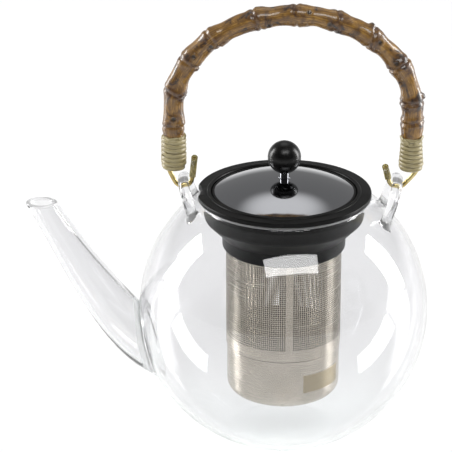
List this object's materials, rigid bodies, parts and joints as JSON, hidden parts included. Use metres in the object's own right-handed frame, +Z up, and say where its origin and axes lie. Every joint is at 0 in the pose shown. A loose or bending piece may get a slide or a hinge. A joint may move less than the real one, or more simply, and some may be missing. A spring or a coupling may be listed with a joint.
{
  "type": "glass press teapot",
  "caption": "Round glass press teapot with fused spout, drop-in perforated strainer, domed steel lid with ball-knob plunger, and an arched bamboo bail hooked into glass loops.",
  "frame": {"origin": "centre of the flat glass base, on the surface the pot stands on", "axes": "+Z up, spout toward -X, bail and lugs in the XZ plane"},
  "size_m": [0.2217, 0.16, 0.2518],
  "materials": {
    "glass": "clear blown borosilicate",
    "black_plastic": "satin moulded polypropylene",
    "knob_plastic": "satin-gloss moulded plastic",
    "strainer_steel": "perforated stainless sheet",
    "dome_steel": "mirror-polished stainless",
    "rod_steel": "polished stainless rod",
    "silicone": "translucent silicone",
    "bamboo": "lacquered bamboo root",
    "cane": "varnished split cane",
    "hook_brass": "brass-coloured wire",
    "vinyl": "clear yellowish vinyl tube"
  },
  "bodies": {
    "pot": {"pot_body": "glass", "spout": "glass", "front_lug": "glass", "rear_lug": "glass"},
    "infuser": {"infuser_frame": "black_plastic", "strainer_sleeve": "strainer_steel", "strainer_cup": "strainer_steel"},
    "lid": {"lid_base": "black_plastic", "lid_cap": "dome_steel"},
    "plunger": {"plunger_knob": "knob_plastic", "plunger_rod": "rod_steel", "press_plate": "black_plastic", "press_seal": "silicone", "rod_nut": "rod_steel"},
    "handle": {"bamboo_bail": "bamboo", "front_binding": "cane", "rear_binding": "cane", "front_hook": "hook_brass", "rear_hook": "hook_brass", "front_hook_sleeve": "vinyl", "rear_hook_sleeve": "vinyl"}
  },
  "joints": [
    {"name": "infuser_lift", "type": "slide", "parent": "pot", "child": "infuser", "axis": [0, 0, 1], "range_m": [0, 0.058]},
    {"name": "lid_lift", "type": "slide", "parent": "infuser", "child": "lid", "axis": [0, 0, 1], "range_m": [0, 0.058]},
    {"name": "plunger_slide", "type": "slide", "parent": "lid", "child": "plunger", "axis": [0, 0, 1], "range_m": [0, 0.058]},
    {"name": "handle_swing", "type": "hinge", "parent": "pot", "child": "handle", "pos_m": [0, 0, 0.14655], "axis": [1, 0, 0], "range_deg": [-36, 36]}
  ]
}
